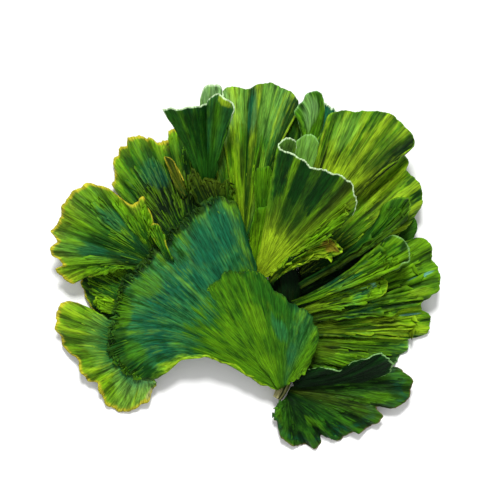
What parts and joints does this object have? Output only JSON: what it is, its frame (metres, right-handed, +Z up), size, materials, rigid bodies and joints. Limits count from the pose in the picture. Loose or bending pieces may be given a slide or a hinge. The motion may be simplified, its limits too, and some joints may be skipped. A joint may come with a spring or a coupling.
{
  "type": "mermaids fan",
  "caption": "Leathery green seaweed clump: pleated, ruffled fans spread from a short stalk that lies flat.",
  "frame": {"origin": "centre of the bottom face of the part's box, on the surface it rests on", "axes": "+Z up, towards the side the picture looks at; +X along the clump's widest extent, from the lower left fan towards the right-hand fans; +Y away from the stub of the stalk"},
  "size_m": [0.1562, 0.1468, 0.0478],
  "materials": {
    "main_fan": "satin, finely ribbed",
    "inner_fan": "satin, finely ribbed",
    "lower_left_fan": "satin, pleated",
    "left_back_fan": "satin, pleated",
    "left_frill": "satin, toothed",
    "middle_left_fan": "satin, pleated",
    "small_left_fan": "satin, pleated",
    "upper_left_fan": "satin, pleated",
    "yellow_fold": "satin",
    "olive_fan": "dull, jagged",
    "folded_fan": "satin, pleated",
    "folded_back_lobe": "satin",
    "top_fan": "satin, pleated",
    "slim_fan": "satin",
    "sliver_fan": "satin",
    "strip_fan": "satin",
    "rolled_fan": "satin",
    "teal_strip": "satin",
    "cupped_fan": "satin, pleated",
    "cup_lobe": "satin",
    "cup_flange": "satin",
    "cup_ruffle": "satin, ruffled",
    "right_top_fan": "satin, pleated",
    "right_upper_fan": "satin, pleated",
    "right_folded_fan": "satin, folded",
    "right_back_fan": "satin, pleated",
    "right_mid_fan": "satin, pleated",
    "right_inner_fan": "satin",
    "right_rim_fan": "satin, pleated",
    "right_low_fan": "satin, pleated",
    "right_last_fan": "satin, pleated",
    "dark_blade": "satin, pleated",
    "bottom_fan": "satin, pleated",
    "stipe": "fibrous, dull"
  },
  "bodies": {
    "root": {"main_fan": "main_fan", "inner_fan": "inner_fan", "lower_left_fan": "lower_left_fan", "left_back_fan": "left_back_fan", "left_frill": "left_frill", "middle_left_fan": "middle_left_fan", "small_left_fan": "small_left_fan", "upper_left_fan": "upper_left_fan", "yellow_fold": "yellow_fold", "olive_fan": "olive_fan", "folded_fan": "folded_fan", "folded_back_lobe": "folded_back_lobe", "top_fan": "top_fan", "slim_fan": "slim_fan", "sliver_fan": "sliver_fan", "strip_fan": "strip_fan", "rolled_fan": "rolled_fan", "teal_strip": "teal_strip", "cupped_fan": "cupped_fan", "cup_lobe": "cup_lobe", "cup_flange": "cup_flange", "cup_ruffle": "cup_ruffle", "right_top_fan": "right_top_fan", "right_upper_fan": "right_upper_fan", "right_folded_fan": "right_folded_fan", "right_back_fan": "right_back_fan", "right_mid_fan": "right_mid_fan", "right_inner_fan": "right_inner_fan", "right_rim_fan": "right_rim_fan", "right_low_fan": "right_low_fan", "right_last_fan": "right_last_fan", "dark_blade": "dark_blade", "bottom_fan": "bottom_fan", "stipe": "stipe"}
  },
  "joints": []
}
